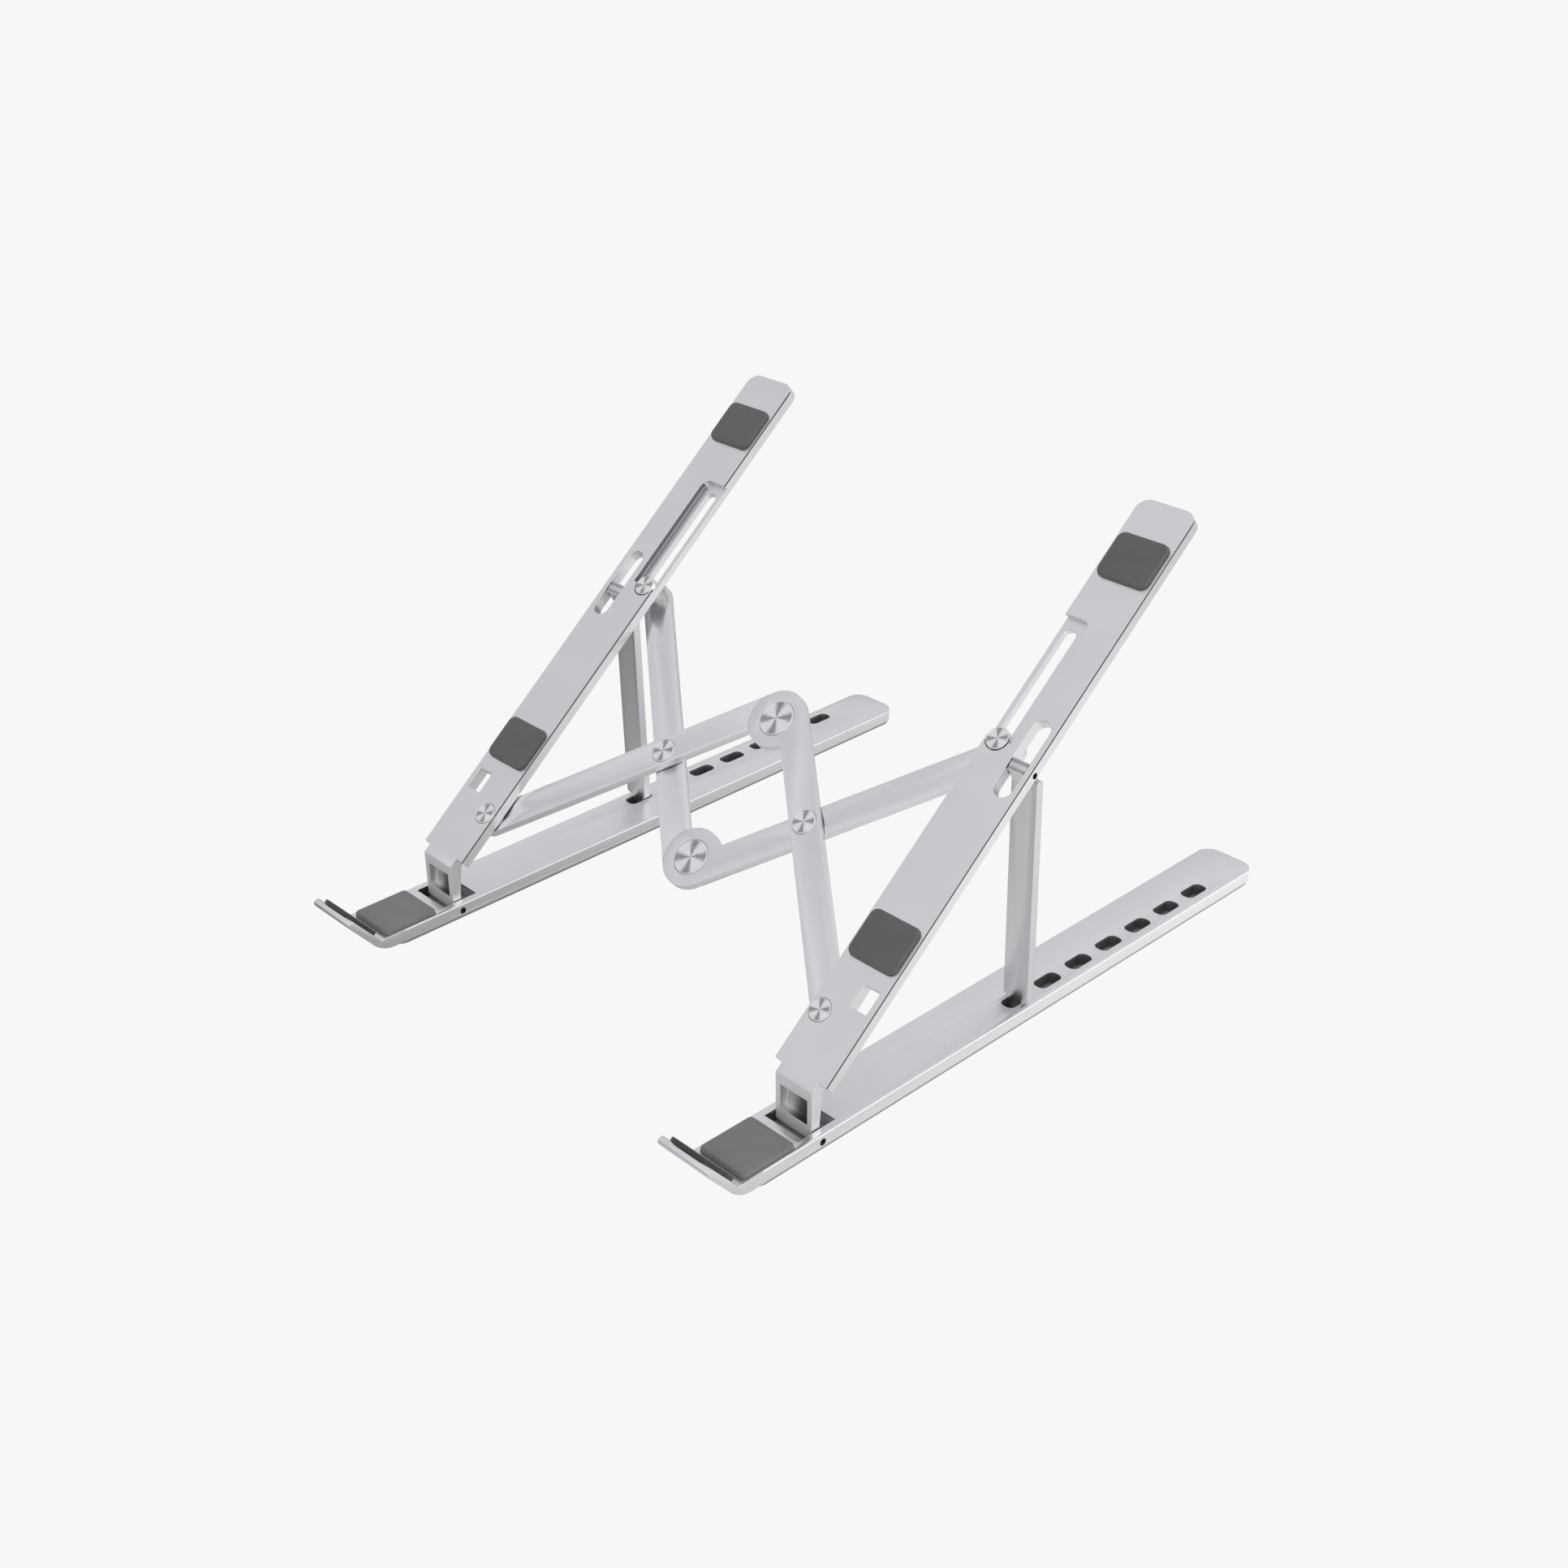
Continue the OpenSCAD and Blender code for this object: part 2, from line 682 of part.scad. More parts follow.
arm_frame(1) prop_pin();  // prop_pin_right
arm_frame(-1) prop_pin();  // prop_pin_left
scissor_frame() link_upper(false);  // link_upper_left
scissor_frame() mirror([1, 0, 0]) link_upper(true);  // link_upper_right
scissor_frame() link_lower(false);  // link_lower_left
scissor_frame() mirror([1, 0, 0]) link_lower(true);  // link_lower_right
arm_frame(1) pivot_rivet();  // pivot_rivet_right
arm_frame(-1) pivot_rivet();  // pivot_rivet_left
arm_frame(1) pivot_washer();  // pivot_washer_right
arm_frame(-1) pivot_washer();  // pivot_washer_left
arm_frame(1) slider_rivet();  // slider_rivet_right
arm_frame(-1) slider_rivet();  // slider_rivet_left
arm_frame(1) slider_spacer();  // slider_spacer_right
arm_frame(-1) slider_spacer();  // slider_spacer_left
scissor_frame() middle_rivet();  // middle_rivet_right
scissor_frame() mirror([1, 0, 0]) middle_rivet();  // middle_rivet_left
scissor_frame() middle_washer();  // middle_washer_right
scissor_frame() mirror([1, 0, 0]) middle_washer();  // middle_washer_left
elbow_rivet_rear();
elbow_rivet_front();
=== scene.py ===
import json
import math

import bmesh
import bpy
from mathutils import Matrix, Vector


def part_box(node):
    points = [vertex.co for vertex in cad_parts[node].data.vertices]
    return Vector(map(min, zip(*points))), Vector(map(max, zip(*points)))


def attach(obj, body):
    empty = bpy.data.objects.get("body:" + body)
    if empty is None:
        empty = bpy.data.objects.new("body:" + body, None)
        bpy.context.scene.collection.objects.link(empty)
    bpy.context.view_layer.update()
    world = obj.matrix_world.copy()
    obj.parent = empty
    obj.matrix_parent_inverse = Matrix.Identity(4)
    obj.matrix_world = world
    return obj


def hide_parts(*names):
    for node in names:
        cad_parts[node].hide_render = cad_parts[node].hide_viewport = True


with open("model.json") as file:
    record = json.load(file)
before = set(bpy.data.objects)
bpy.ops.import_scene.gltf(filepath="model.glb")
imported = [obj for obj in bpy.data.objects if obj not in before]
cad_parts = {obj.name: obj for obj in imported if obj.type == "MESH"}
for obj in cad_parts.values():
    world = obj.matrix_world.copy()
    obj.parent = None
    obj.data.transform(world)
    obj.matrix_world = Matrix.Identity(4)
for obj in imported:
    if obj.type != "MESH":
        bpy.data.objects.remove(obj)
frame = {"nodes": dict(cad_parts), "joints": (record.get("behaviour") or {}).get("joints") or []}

# ---------------------------------------------------------------- camera
scene = bpy.context.scene
cam_data = bpy.data.cameras.new("camera")
cam = bpy.data.objects.new("camera", cam_data)
scene.collection.objects.link(cam)
CAMERA_PLACE = (0.4049, -0.3981, 0.3574)
TO_CAMERA = Vector((0.6310, -0.6102, 0.4790))
cam_data.sensor_width = 36.0
cam_data.lens = 46.83
cam_data.clip_start = 0.01
cam.location = CAMERA_PLACE
cam.rotation_euler = (-TO_CAMERA).to_track_quat("-Z", "Y").to_euler()
scene.camera = cam

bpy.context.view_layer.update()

# ---------------------------------------------------------------- frames
REST_SLOPE = math.radians(40.0)
SIDES = (("right", 1), ("left", -1))
joints = {j["name"]: j for j in frame["joints"]}
hinge = Vector(joints["arm_raise"]["pos_m"])


def arm_matrix(side):
    """Frame on the hinge pin: Y along the arm, Z square to it."""
    place = Vector((side * hinge.x, hinge.y, hinge.z))
    return Matrix.Translation(place) @ Matrix.Rotation(REST_SLOPE, 4, "X")


def local_box(node, matrix):
    """Lowest and highest corner of a CAD node, seen in the frame of a matrix."""
    inverse = matrix.inverted()
    points = [inverse @ v.co for v in frame["nodes"][node].data.vertices]
    lowest = Vector([min(p[i] for p in points) for i in range(3)])
    highest = Vector([max(p[i] for p in points) for i in range(3)])
    return lowest, highest


# ---------------------------------------------------------------- materials
# Noise scales count waves in a metre, and depths and pitches are in metres.
CLOUD_SCALE = 60.0
BLAST_SCALE = 2600.0
BLAST_DEPTH = 0.00004
DRAWN_SCALE = 900.0
SPARK_SCALE = 3200.0
SPARK_DEPTH = 0.00006
RING_PITCH = 0.00022
RING_DEPTH = 0.000003
SWIRL = 12.0
POCKET_REACH = 0.0058


def new_material(name):
    mat = bpy.data.materials.new(name)
    mat.use_nodes = True
    nodes = mat.node_tree.nodes
    links = mat.node_tree.links
    return mat, nodes, links, nodes["Principled BSDF"]


def add_noise(nodes, links, scale, detail, rough=0.5, stretch=(1, 1, 1)):
    coord = nodes.new("ShaderNodeTexCoord")
    mapping = nodes.new("ShaderNodeMapping")
    mapping.inputs["Scale"].default_value = stretch
    noise = nodes.new("ShaderNodeTexNoise")
    noise.inputs["Scale"].default_value = scale
    noise.inputs["Detail"].default_value = detail
    noise.inputs["Roughness"].default_value = rough
    links.new(coord.outputs["Object"], mapping.inputs["Vector"])
    links.new(mapping.outputs["Vector"], noise.inputs["Vector"])
    return noise.outputs["Fac"]


def add_ramp(nodes, links, source, stops):
    ramp = nodes.new("ShaderNodeValToRGB")
    ramp.color_ramp.elements[0].position = stops[0][0]
    ramp.color_ramp.elements[0].color = (*stops[0][1], 1)
    ramp.color_ramp.elements[1].position = stops[-1][0]
    ramp.color_ramp.elements[1].color = (*stops[-1][1], 1)
    for position, colour in stops[1:-1]:
        element = ramp.color_ramp.elements.new(position)
        element.color = (*colour, 1)
    links.new(source, ramp.inputs["Fac"])
    return ramp.outputs["Color"]


def add_range(nodes, links, source, low_value, high_value):
    spread = nodes.new("ShaderNodeMapRange")
    spread.inputs["To Min"].default_value = low_value
    spread.inputs["To Max"].default_value = high_value
    links.new(source, spread.inputs["Value"])
    return spread.outputs["Result"]


def add_bump(nodes, links, source, distance, strength):
    bump = nodes.new("ShaderNodeBump")
    bump.inputs["Distance"].default_value = distance
    bump.inputs["Strength"].default_value = strength
    links.new(source, bump.inputs["Height"])
    return bump.outputs["Normal"]


def add_cloud(nodes, links, source, dark, tone):
    """Soft patches between two colours."""
    return add_ramp(nodes, links, source, [(0.3, dark), (0.7, tone)])


def make_alloy(name, tone, roughness, metallic=1.0):
    """Bead-blasted and anodised aluminium."""
    mat, nodes, links, bsdf = new_material(name)
    bsdf.inputs["Metallic"].default_value = metallic
    cloud = add_noise(nodes, links, CLOUD_SCALE, 3.0)
    dark = tuple(c * 0.965 for c in tone)
    links.new(add_cloud(nodes, links, cloud, dark, tone), bsdf.inputs["Base Color"])
    grain = add_noise(nodes, links, BLAST_SCALE, 3.0, 0.6)
    spread = add_range(nodes, links, grain, roughness - 0.05, roughness + 0.06)
    links.new(spread, bsdf.inputs["Roughness"])
    links.new(add_bump(nodes, links, grain, BLAST_DEPTH, 0.35), bsdf.inputs["Normal"])
    return mat


def add_math(nodes, links, operation, first, second=None):
    step = nodes.new("ShaderNodeMath")
    step.operation = operation
    for socket, value in zip(step.inputs, (first, second)):
        if value is None:
            continue
        if isinstance(value, (int, float)):
            socket.default_value = value
        else:
            links.new(value, socket)
    return step.outputs["Value"]


def make_turned(name, turn, glint_sector_count):
    """Steel turned on a lathe: fine rings about the local Z axis, and a painted reflection of bright and
    dark wedges that those rings would cause.
    """
    mat, nodes, links, bsdf = new_material(name)
    bsdf.inputs["Metallic"].default_value = 1.0
    coord = nodes.new("ShaderNodeTexCoord")
    split = nodes.new("ShaderNodeSeparateXYZ")
    links.new(coord.outputs["Object"], split.inputs[0])
    x, y = split.outputs["X"], split.outputs["Y"]

    def math_step(operation, first, second=None):
        return add_math(nodes, links, operation, first, second)

    x_squared = math_step("MULTIPLY", x, x)
    y_squared = math_step("MULTIPLY", y, y)
    radius = math_step("SQRT", math_step("ADD", x_squared, y_squared))
    rings = math_step("SINE", math_step("MULTIPLY", radius, 2 * math.pi / RING_PITCH))
    angle = math_step("ARCTAN2", y, x)
    turned_angle = math_step("ADD", angle, turn)
    swirl = math_step("MULTIPLY", radius, SWIRL)
    swirled_angle = math_step("ADD", turned_angle, swirl)
    # Painted reflection: bright and dark wedges about the axis, and a slower light-to-dark swing across the
    # head, go into the base colour in place of the glint of the turned rings.
    painted_glint_sectors = math_step("COSINE", math_step("MULTIPLY", swirled_angle, glint_sector_count))
    painted_sheen_halves = math_step("COSINE", math_step("MULTIPLY", turned_angle, glint_sector_count / 2))
    streak = add_noise(nodes, links, 1500.0, 2.0)
    mixed = math_step("MULTIPLY", painted_glint_sectors, 0.36)
    mixed = math_step("ADD", mixed, math_step("MULTIPLY", rings, 0.10))
    mixed = math_step("ADD", mixed, math_step("MULTIPLY", streak, 0.3))
    mixed = math_step("ADD", mixed, math_step("MULTIPLY", painted_sheen_halves, 0.10))
    mixed = math_step("ADD", mixed, 0.40)
    stops = [(0.0, (0.22, 0.22, 0.23)), (0.3, (0.48, 0.48, 0.49)),
             (0.55, (0.95, 0.95, 0.96)), (1.0, (1.0, 1.0, 1.0))]
    tone = add_ramp(nodes, links, mixed, stops)
    links.new(tone, bsdf.inputs["Base Color"])
    links.new(add_bump(nodes, links, rings, RING_DEPTH, 0.4), bsdf.inputs["Normal"])
    speck = add_noise(nodes, links, DRAWN_SCALE, 2.0)
    links.new(add_range(nodes, links, speck, 0.2, 0.28), bsdf.inputs["Roughness"])
    return mat


def make_steel(name, tone, roughness):
    """Plain drawn steel of washers, spacers and rivet shanks."""
    mat, nodes, links, bsdf = new_material(name)
    bsdf.inputs["Metallic"].default_value = 1.0
    grain = add_noise(nodes, links, DRAWN_SCALE, 3.0, 0.5, (0.1, 1, 1))
    dark = (tone * 0.86, tone * 0.86, tone * 0.87)
    light = (tone, tone, tone * 1.01)
    links.new(add_cloud(nodes, links, grain, dark, light), bsdf.inputs["Base Color"])
    spread = add_range(nodes, links, grain, roughness - 0.04, roughness + 0.05)
    links.new(spread, bsdf.inputs["Roughness"])
    return mat


def make_rubber(name, tone, roughness):
    """Moulded silicone with a fine spark-eroded texture."""
    mat, nodes, links, bsdf = new_material(name)
    cloud = add_noise(nodes, links, 180.0, 3.0)
    dark = tuple(c * 0.88 for c in tone)
    links.new(add_cloud(nodes, links, cloud, dark, tone), bsdf.inputs["Base Color"])
    grain = add_noise(nodes, links, SPARK_SCALE, 3.0, 0.6)
    spread = add_range(nodes, links, grain, roughness - 0.07, roughness + 0.07)
    links.new(spread, bsdf.inputs["Roughness"])
    links.new(add_bump(nodes, links, grain, SPARK_DEPTH, 0.4), bsdf.inputs["Normal"])
    bsdf.inputs["Sheen Weight"].default_value = 0.25
    bsdf.inputs["Sheen Roughness"].default_value = 0.5
    return mat


alloy_arm = make_alloy("anodised_arm", (0.86, 0.865, 0.88), 0.34)
alloy_rail = make_alloy("anodised_rail", (0.92, 0.922, 0.935), 0.32)
alloy_link = make_alloy("anodised_link", (0.86, 0.865, 0.88), 0.32)
alloy_prop = make_alloy("anodised_prop", (0.74, 0.745, 0.76), 0.32)
# Turned steel with a painted glint of bright and dark wedges on the rivet heads.
turned = make_turned("turned_steel_painted_glint", turn=0.35, glint_sector_count=4.0)
turned_rim = make_steel("bright_rim", 0.96, 0.3)
steel = make_steel("drawn_steel", 0.62, 0.3)
rubber_arm = make_rubber("silicone_arm", (0.115, 0.115, 0.118), 0.62)
rubber_ledge = make_rubber("silicone_ledge", (0.195, 0.195, 0.198), 0.6)
rubber_dark = make_rubber("silicone_dark", (0.035, 0.035, 0.036), 0.65)
# Painted shade: near-black for the walls of the pin bores, and the same near-black on the pins themselves.
pin_hole_shade = make_rubber("black_pin_and_painted_bore_shade", (0.008, 0.008, 0.008), 0.45)
# Painted shade: a dark copy of the alloy for the slider recess walls and the fine side grooves of the arms.
alloy_shadow = make_alloy("painted_shade_recess_and_groove", (0.22, 0.225, 0.235), 0.5)
# Painted shade: a dark grey copy of the alloy for the walls of the slots and the opening for the nose.
slot_shade_alloy = make_alloy("painted_shade_slot", (0.30, 0.30, 0.31), 0.5)
# Painted shade: a darker copy of the rail's alloy for the inner side of the rail.
rail_side_shade_alloy = make_alloy("painted_shade_rail_side", (0.86, 0.863, 0.875), 0.36)
# Painted light: a lighter, more diffuse copy of the arm's alloy for the front face of the nose.
nose_front_lit_alloy = make_alloy("painted_light_nose_front", (0.80, 0.803, 0.815), 0.5, 0.3)
rubber_strip = make_rubber("silicone_strip", (0.30, 0.30, 0.305), 0.6)


def make_pocket(name, centre_x):
    """Metal in the shade of the nose pocket: light at its left wall, dark towards its right wall."""
    mat, nodes, links, bsdf = new_material(name)
    bsdf.inputs["Metallic"].default_value = 1.0
    coord = nodes.new("ShaderNodeTexCoord")
    split = nodes.new("ShaderNodeSeparateXYZ")
    links.new(coord.outputs["Object"], split.inputs[0])
    span = nodes.new("ShaderNodeMapRange")
    span.inputs["From Min"].default_value = centre_x - POCKET_REACH
    span.inputs["From Max"].default_value = centre_x + POCKET_REACH
    links.new(split.outputs["X"], span.inputs["Value"])
    stops = [(0.0, (0.90, 0.90, 0.91)), (0.22, (0.74, 0.745, 0.755)), (0.5, (0.22, 0.222, 0.23)),
             (0.7, (0.15, 0.152, 0.16)), (1.0, (0.13, 0.132, 0.14))]
    tone = add_ramp(nodes, links, span.outputs["Result"], stops)
    links.new(tone, bsdf.inputs["Base Color"])
    grain = add_noise(nodes, links, BLAST_SCALE, 3.0, 0.6)
    links.new(add_range(nodes, links, grain, 0.4, 0.52), bsdf.inputs["Roughness"])
    return mat


# Painted shade for the nose pockets, one gradient for each side.
pocket = {word: make_pocket(f"painted_shade_pocket_{word}", side * hinge.x) for word, side in SIDES}


# ---------------------------------------------------------------- mesh helpers
WELD_DISTANCE = 2e-6
FLAT_ANGLE = 0.6
BEVEL_ANGLE = 32
MACHINED_SMOOTH = 34
MOULDED_SMOOTH = 40
TURNED_SMOOTH = 28
LATHE_SEGMENTS = 96
AXIS_RADIUS = 1e-7
CORNER_STEPS = 8
EDGE_STEPS = 7
CROWN_STEPS = 8


def link_object(name, mesh, mats, matrix=None):
    obj = bpy.data.objects.new(name, mesh)
    scene.collection.objects.link(obj)
    if matrix is not None:
        obj.matrix_world = matrix
    for mat in mats:
        mesh.materials.append(mat)
    return obj


def smooth_by_angle(mesh, degrees):
    mesh.polygons.foreach_set("use_smooth", [True] * len(mesh.polygons))
    bm = bmesh.new()
    bm.from_mesh(mesh)
    for e in bm.edges:
        e.smooth = len(e.link_faces) == 2 and e.calc_face_angle(0.0) < math.radians(degrees)
    bm.to_mesh(mesh)
    bm.free()


def shade_faces(mesh, matrix, boxes, whole=False):
    """Gives another material to the faces in a box.

    A box is (material index, lowest, highest, most_y, most_z). A face is taken when its normal is under
    most_y along Y, either way, and under most_z along Z. With whole, all its corners have to be in the box.
    """
    inverse = matrix.inverted()
    turn = inverse.to_3x3()
    for face in mesh.polygons:
        points = [inverse @ face.center]
        if whole:
            points = [inverse @ mesh.vertices[v].co for v in face.vertices]
        normal = turn @ face.normal
        for index, lowest, highest, most_y, most_z in boxes:
            inside = all(lowest[i] <= p[i] <= highest[i] for p in points for i in range(3))
            if inside and abs(normal.y) < most_y and normal.z < most_z:
                face.material_index = index


def softened(node, name, body, mat, width, segments=2, darks=(), matrix=None, boxes=()):
    """A copy of a CAD piece with its sharp edges broken, in place of the CAD node."""
    source = frame["nodes"][node]
    mesh = source.data.copy()
    mesh.materials.clear()
    bm = bmesh.new()
    bm.from_mesh(mesh)
    bmesh.ops.remove_doubles(bm, verts=bm.verts, dist=WELD_DISTANCE)
    flat = math.radians(FLAT_ANGLE)
    bmesh.ops.dissolve_limit(bm, angle_limit=flat, verts=bm.verts, edges=bm.edges)
    bm.to_mesh(mesh)
    bm.free()
    obj = link_object(name, mesh, [mat])
    bevel = obj.modifiers.new("edges", "BEVEL")
    bevel.width = width
    bevel.segments = segments
    bevel.limit_method = "ANGLE"
    bevel.angle_limit = math.radians(BEVEL_ANGLE)
    bevel.use_clamp_overlap = False
    bevel.harden_normals = False
    depsgraph = bpy.context.evaluated_depsgraph_get()
    depsgraph.update()
    done = bpy.data.meshes.new_from_object(obj.evaluated_get(depsgraph))
    obj.modifiers.clear()
    obj.data = done
    bpy.data.meshes.remove(mesh)
    smooth_by_angle(done, MACHINED_SMOOTH)
    # The extra materials are painted shade and painted light, given to the faces in the boxes.
    for dark in darks:
        done.materials.append(dark)
    if boxes:
        shade_faces(done, matrix, boxes)
    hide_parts(node)
    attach(obj, body)
    return obj


def rounded_outline(width, length, radius):
    """Corner points of a rectangle with round corners, counter-clockwise."""
    points = []
    for side_x, side_y, start in ((1, 1, 0), (-1, 1, 90), (-1, -1, 180), (1, -1, 270)):
        for i in range(CORNER_STEPS + 1):
            a = math.radians(start + 90 * i / CORNER_STEPS)
            x = side_x * (width / 2 - radius) + radius * math.cos(a)
            y = side_y * (length / 2 - radius) + radius * math.sin(a)
            points.append((x, y))
    return points


def soft_pad(name, width, length, radius, height, edge, crown, matrix, mats):
    """Moulded pad: upright side, rolled edge and a slightly crowned top."""
    least_radius = 0.00008
    middle_gap = 0.0002
    bm = bmesh.new()
    profile = [(0.0, 0.0), (0.0, 0.25 * (height - edge)), (0.0, height - edge)]
    for i in range(1, EDGE_STEPS + 1):
        a = math.radians(90 * i / EDGE_STEPS)
        profile.append((edge * (1 - math.cos(a)), height - edge + edge * math.sin(a)))
    for step in range(1, CROWN_STEPS):
        inset = edge + (min(width, length) / 2 - edge - middle_gap) * step / CROWN_STEPS
        profile.append((inset, height + crown * (1 - (1 - step / CROWN_STEPS) ** 2.0)))
    loops = []
    for inset, z in profile:
        r = max(radius - inset, least_radius)
        outline = rounded_outline(width - 2 * inset, length - 2 * inset, r)
        loops.append([bm.verts.new((x, y, z)) for x, y in outline])
    count = len(loops[0])
    for a, b in zip(loops, loops[1:]):
        for i in range(count):
            j = (i + 1) % count
            bm.faces.new((a[i], a[j], b[j], b[i]))
    bm.faces.new(loops[-1])
    bm.faces.new(list(reversed(loops[0])))
    bmesh.ops.recalc_face_normals(bm, faces=bm.faces)
    mesh = bpy.data.meshes.new(name)
    bm.to_mesh(mesh)
    bm.free()
    smooth_by_angle(mesh, MOULDED_SMOOTH)
    return link_object(name, mesh, mats, matrix)


def lathe(name, profile, matrix, mats):
    """Turned piece about the local Z axis; the profile runs from the bottom centre to the top centre."""
    bm = bmesh.new()
    angles = [2 * math.pi * i / LATHE_SEGMENTS for i in range(LATHE_SEGMENTS)]
    loops = []
    for r, z in profile:
        if r < AXIS_RADIUS:
            loops.append([bm.verts.new((0, 0, z))])
        else:
            loops.append([bm.verts.new((r * math.cos(t), r * math.sin(t), z)) for t in angles])
    for a, b in zip(loops, loops[1:]):
        for i in range(LATHE_SEGMENTS):
            j = (i + 1) % LATHE_SEGMENTS
            if len(a) == 1:
                bm.faces.new((a[0], b[j], b[i]))
            elif len(b) == 1:
                bm.faces.new((a[i], a[j], b[0]))
            else:
                bm.faces.new((a[i], a[j], b[j], b[i]))
    bmesh.ops.recalc_face_normals(bm, faces=bm.faces)
    mesh = bpy.data.meshes.new(name)
    bm.to_mesh(mesh)
    bm.free()
    smooth_by_angle(mesh, TURNED_SMOOTH)
    return link_object(name, mesh, mats, matrix)


def turned_rivet(node, name, body, head, dish):
    """Rivet with a bevelled rim, a turned face with a shallow dish, a shank and a closed tail.

    The profile is (radius, height) from the bottom centre to the top centre, with the height square to
    the arms. The head is measured from its seat to its top.
    """
    shank = SHANK_RADIUS
    tail = TAIL_RADIUS
    lowest, highest = local_box(node, arm_matrix(1))
    centre = (lowest + highest) / 2
    matrix = arm_matrix(1) @ Matrix.Translation((centre.x, centre.y, 0))
    r = (highest.x - lowest.x) / 2
    top = highest.z
    bottom = lowest.z
    seat = top - head
    profile = [
        # closed tail and shank
        (0, bottom), (tail * 0.45, bottom), (tail * 0.5, bottom + 0.00012),
        (tail - 0.00015, bottom + 0.00002), (tail, bottom + 0.00015), (tail, bottom + 0.0006),
        (shank, bottom + 0.0007), (shank, seat),
        # underside, side and rounded rim of the head
        (r - 0.0001, seat), (r, seat + 0.0001), (r, top - 0.00022), (r - 0.00006, top - 0.00010),
        (r - 0.00018, top - 0.00002), (r - 0.00032, top),
        # fine ring, shallow dish and centre mark of the turned face
        (r * 0.80, top - 0.00001), (r * 0.77, top - 0.00006), (r * 0.74, top - 0.00003),
        (r * 0.5, top - dish * 0.5), (r * 0.16, top - dish), (r * 0.05, top - dish - 0.00004),
        (0, top - dish - 0.00004),
    ]
    obj = lathe(name, profile, matrix, [turned, turned_rim])
    for face in obj.data.polygons:
        on_rim = math.hypot(face.center.x, face.center.y) > r * RIM_SHARE
        if on_rim or face.center.z < seat:
            face.material_index = RIM_INDEX
    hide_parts(node)
    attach(obj, body)
    return obj


# ---------------------------------------------------------------- pieces
# Faces of a rail or an arm that take another material, each as (material index, lowest, highest, most_y,
# most_z). The other materials are painted shade, and on the front of the nose a painted lighter copy of the
# alloy. The frame is on the hinge of that side, with X to the outside, and lengths are in metres. ANY
# is more than any normal has. As most_y, WALL leaves out faces that look along Y, and as most_z those
# that look up.
ANY = 2.0
WALL = 0.5
RAIL_SLOT_SHADE, RAIL_BORE_SHADE, RAIL_SIDE_SHADE = 1, 2, 3
RAIL_BOXES = [
    # painted shade on the walls of the opening for the nose
    (RAIL_SLOT_SHADE, (-0.0096, -0.0054, 0.0015), (0.0096, 0.0071, 0.0050), ANY, WALL),
    # painted shade on the walls of the prop slots
    (RAIL_SLOT_SHADE, (0.0018, 0.080, 0.0013), (0.0072, 0.184, 0.0050), ANY, WALL),
    # painted shade: a darker copy of the rail's alloy on the inner side of the rail
    (RAIL_SIDE_SHADE, (-0.0101, -0.030, 0.0013), (-0.0096, 0.210, 0.0052), WALL, WALL),
    # painted shade on the walls of the bore of the hinge pin
    (RAIL_BORE_SHADE, (-0.0101, -0.00115, 0.0017), (0.0101, 0.00115, 0.0041), ANY, 0.9),
]
ARM_SHADE, ARM_POCKET, ARM_BORE_SHADE, ARM_FRONT_LIT = 1, 2, 3, 4
ARM_BORE_BOXES = [
    # painted shade on the walls of the bore of the prop pin, on both sides of the prop
    (ARM_BORE_SHADE, (0.0004, 0.1158, 0.0094), (0.0016, 0.1178, 0.0114), ANY, ANY),
    (ARM_BORE_SHADE, (0.0084, 0.1158, 0.0094), (0.0101, 0.1178, 0.0114), ANY, ANY),
]
ARM_SHADE_BOXES = [
    # painted shade on the walls of the slider recess
    (ARM_SHADE, (-0.0109, 0.1150, 0.0110), (0.0005, 0.1680, 0.0132), WALL, WALL),
    # painted shade in the fine groove along each side
    (ARM_SHADE, (-0.0102, 0.010, 0.0122), (-0.0094, 0.210, 0.01305), ANY, 0.98),
    (ARM_SHADE, (0.0094, 0.010, 0.0122), (0.0102, 0.210, 0.01305), ANY, 0.98),
]
# These two are upright, in the frame of the rail, because the nose is.
NOSE_BOXES = [
    # painted shade of the pocket in the front of the nose, and by a fault of this box on the flat rear face
    # of the nose too
    (ARM_POCKET, (-0.0056, -0.00145, 0.0067), (0.0056, 0.0022, 0.0153), ANY, ANY),
    # painted light: a lighter, more diffuse copy of the arm's alloy on the front face of the nose
    (ARM_FRONT_LIT, (-0.0073, -0.0019, 0.0045), (0.0073, -0.0015, 0.0200), ANY, WALL),
]

RAIL_EDGE = 0.00015
ARM_EDGE = 0.00008
PROP_EDGE = 0.00025
LINK_EDGE = 0.00005
STRIP_EDGE = 0.0002
LINER_EDGE = 0.0003

PAD_CROWN = 0.0001
ARM_PAD_RADIUS = 0.0025
ARM_PAD_EDGE = 0.0005
LEDGE_PAD_RADIUS = 0.0014
LEDGE_PAD_EDGE = 0.0006

SHANK_RADIUS = 0.002
TAIL_RADIUS = 0.003
RIM_SHARE = 0.93
RIM_INDEX = 1
HEAD = {"pivot": 0.0014, "slider": 0.00215, "middle": 0.00115, "elbow_rear": 0.00095, "elbow_front": 0.00075}
RIVET_DISH = 0.00004
ELBOW_DISH = 0.00005


def recolour(node, mat):
    """Gives another material to a CAD node that is shown as it is."""
    slots = frame["nodes"][node].data.materials
    slots.clear()
    slots.append(mat)


